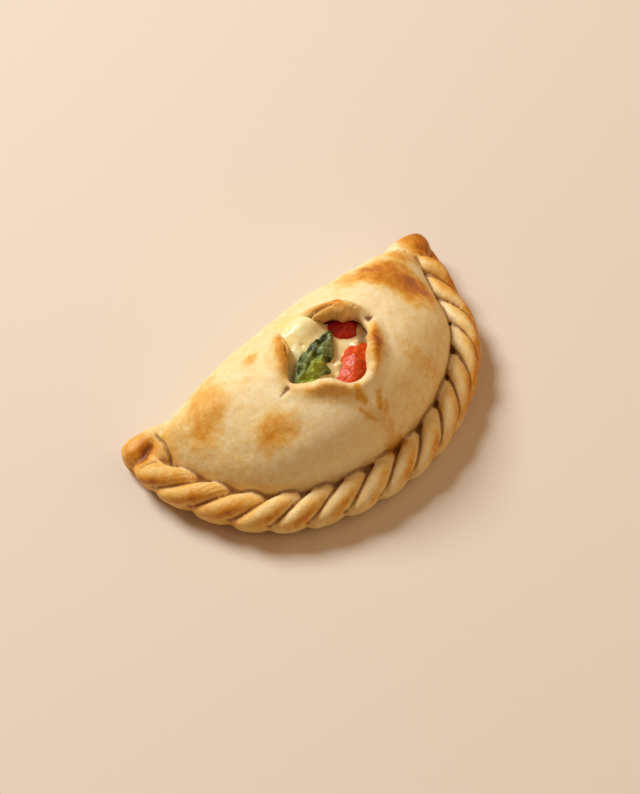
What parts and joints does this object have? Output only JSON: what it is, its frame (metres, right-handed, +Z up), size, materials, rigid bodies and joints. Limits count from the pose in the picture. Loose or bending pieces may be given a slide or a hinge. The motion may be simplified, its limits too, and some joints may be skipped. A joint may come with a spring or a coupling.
{
  "type": "empanada",
  "caption": "Baked half-moon pastry with a rope-crimped edge and a cross cut on top, its petals curled back over melted cheese, tomato and a basil leaf.",
  "frame": {"origin": "middle of the bounding box in plan, on the flat underside", "axes": "+X from ear to ear, +Y towards the folded side, away from the rope crimp, +Z up through the cross cut"},
  "size_m": [0.129, 0.0689, 0.0397],
  "materials": {
    "baked_dough": "satin",
    "melted_cheese": "gloss",
    "tomato_flesh": "gloss",
    "roast_tomato": "gloss",
    "basil": "satin"
  },
  "bodies": {
    "root": {"crust": "baked_dough", "cheese": "melted_cheese", "tomato_front": "tomato_flesh", "tomato_back": "roast_tomato", "basil_leaf": "basil"}
  },
  "joints": []
}
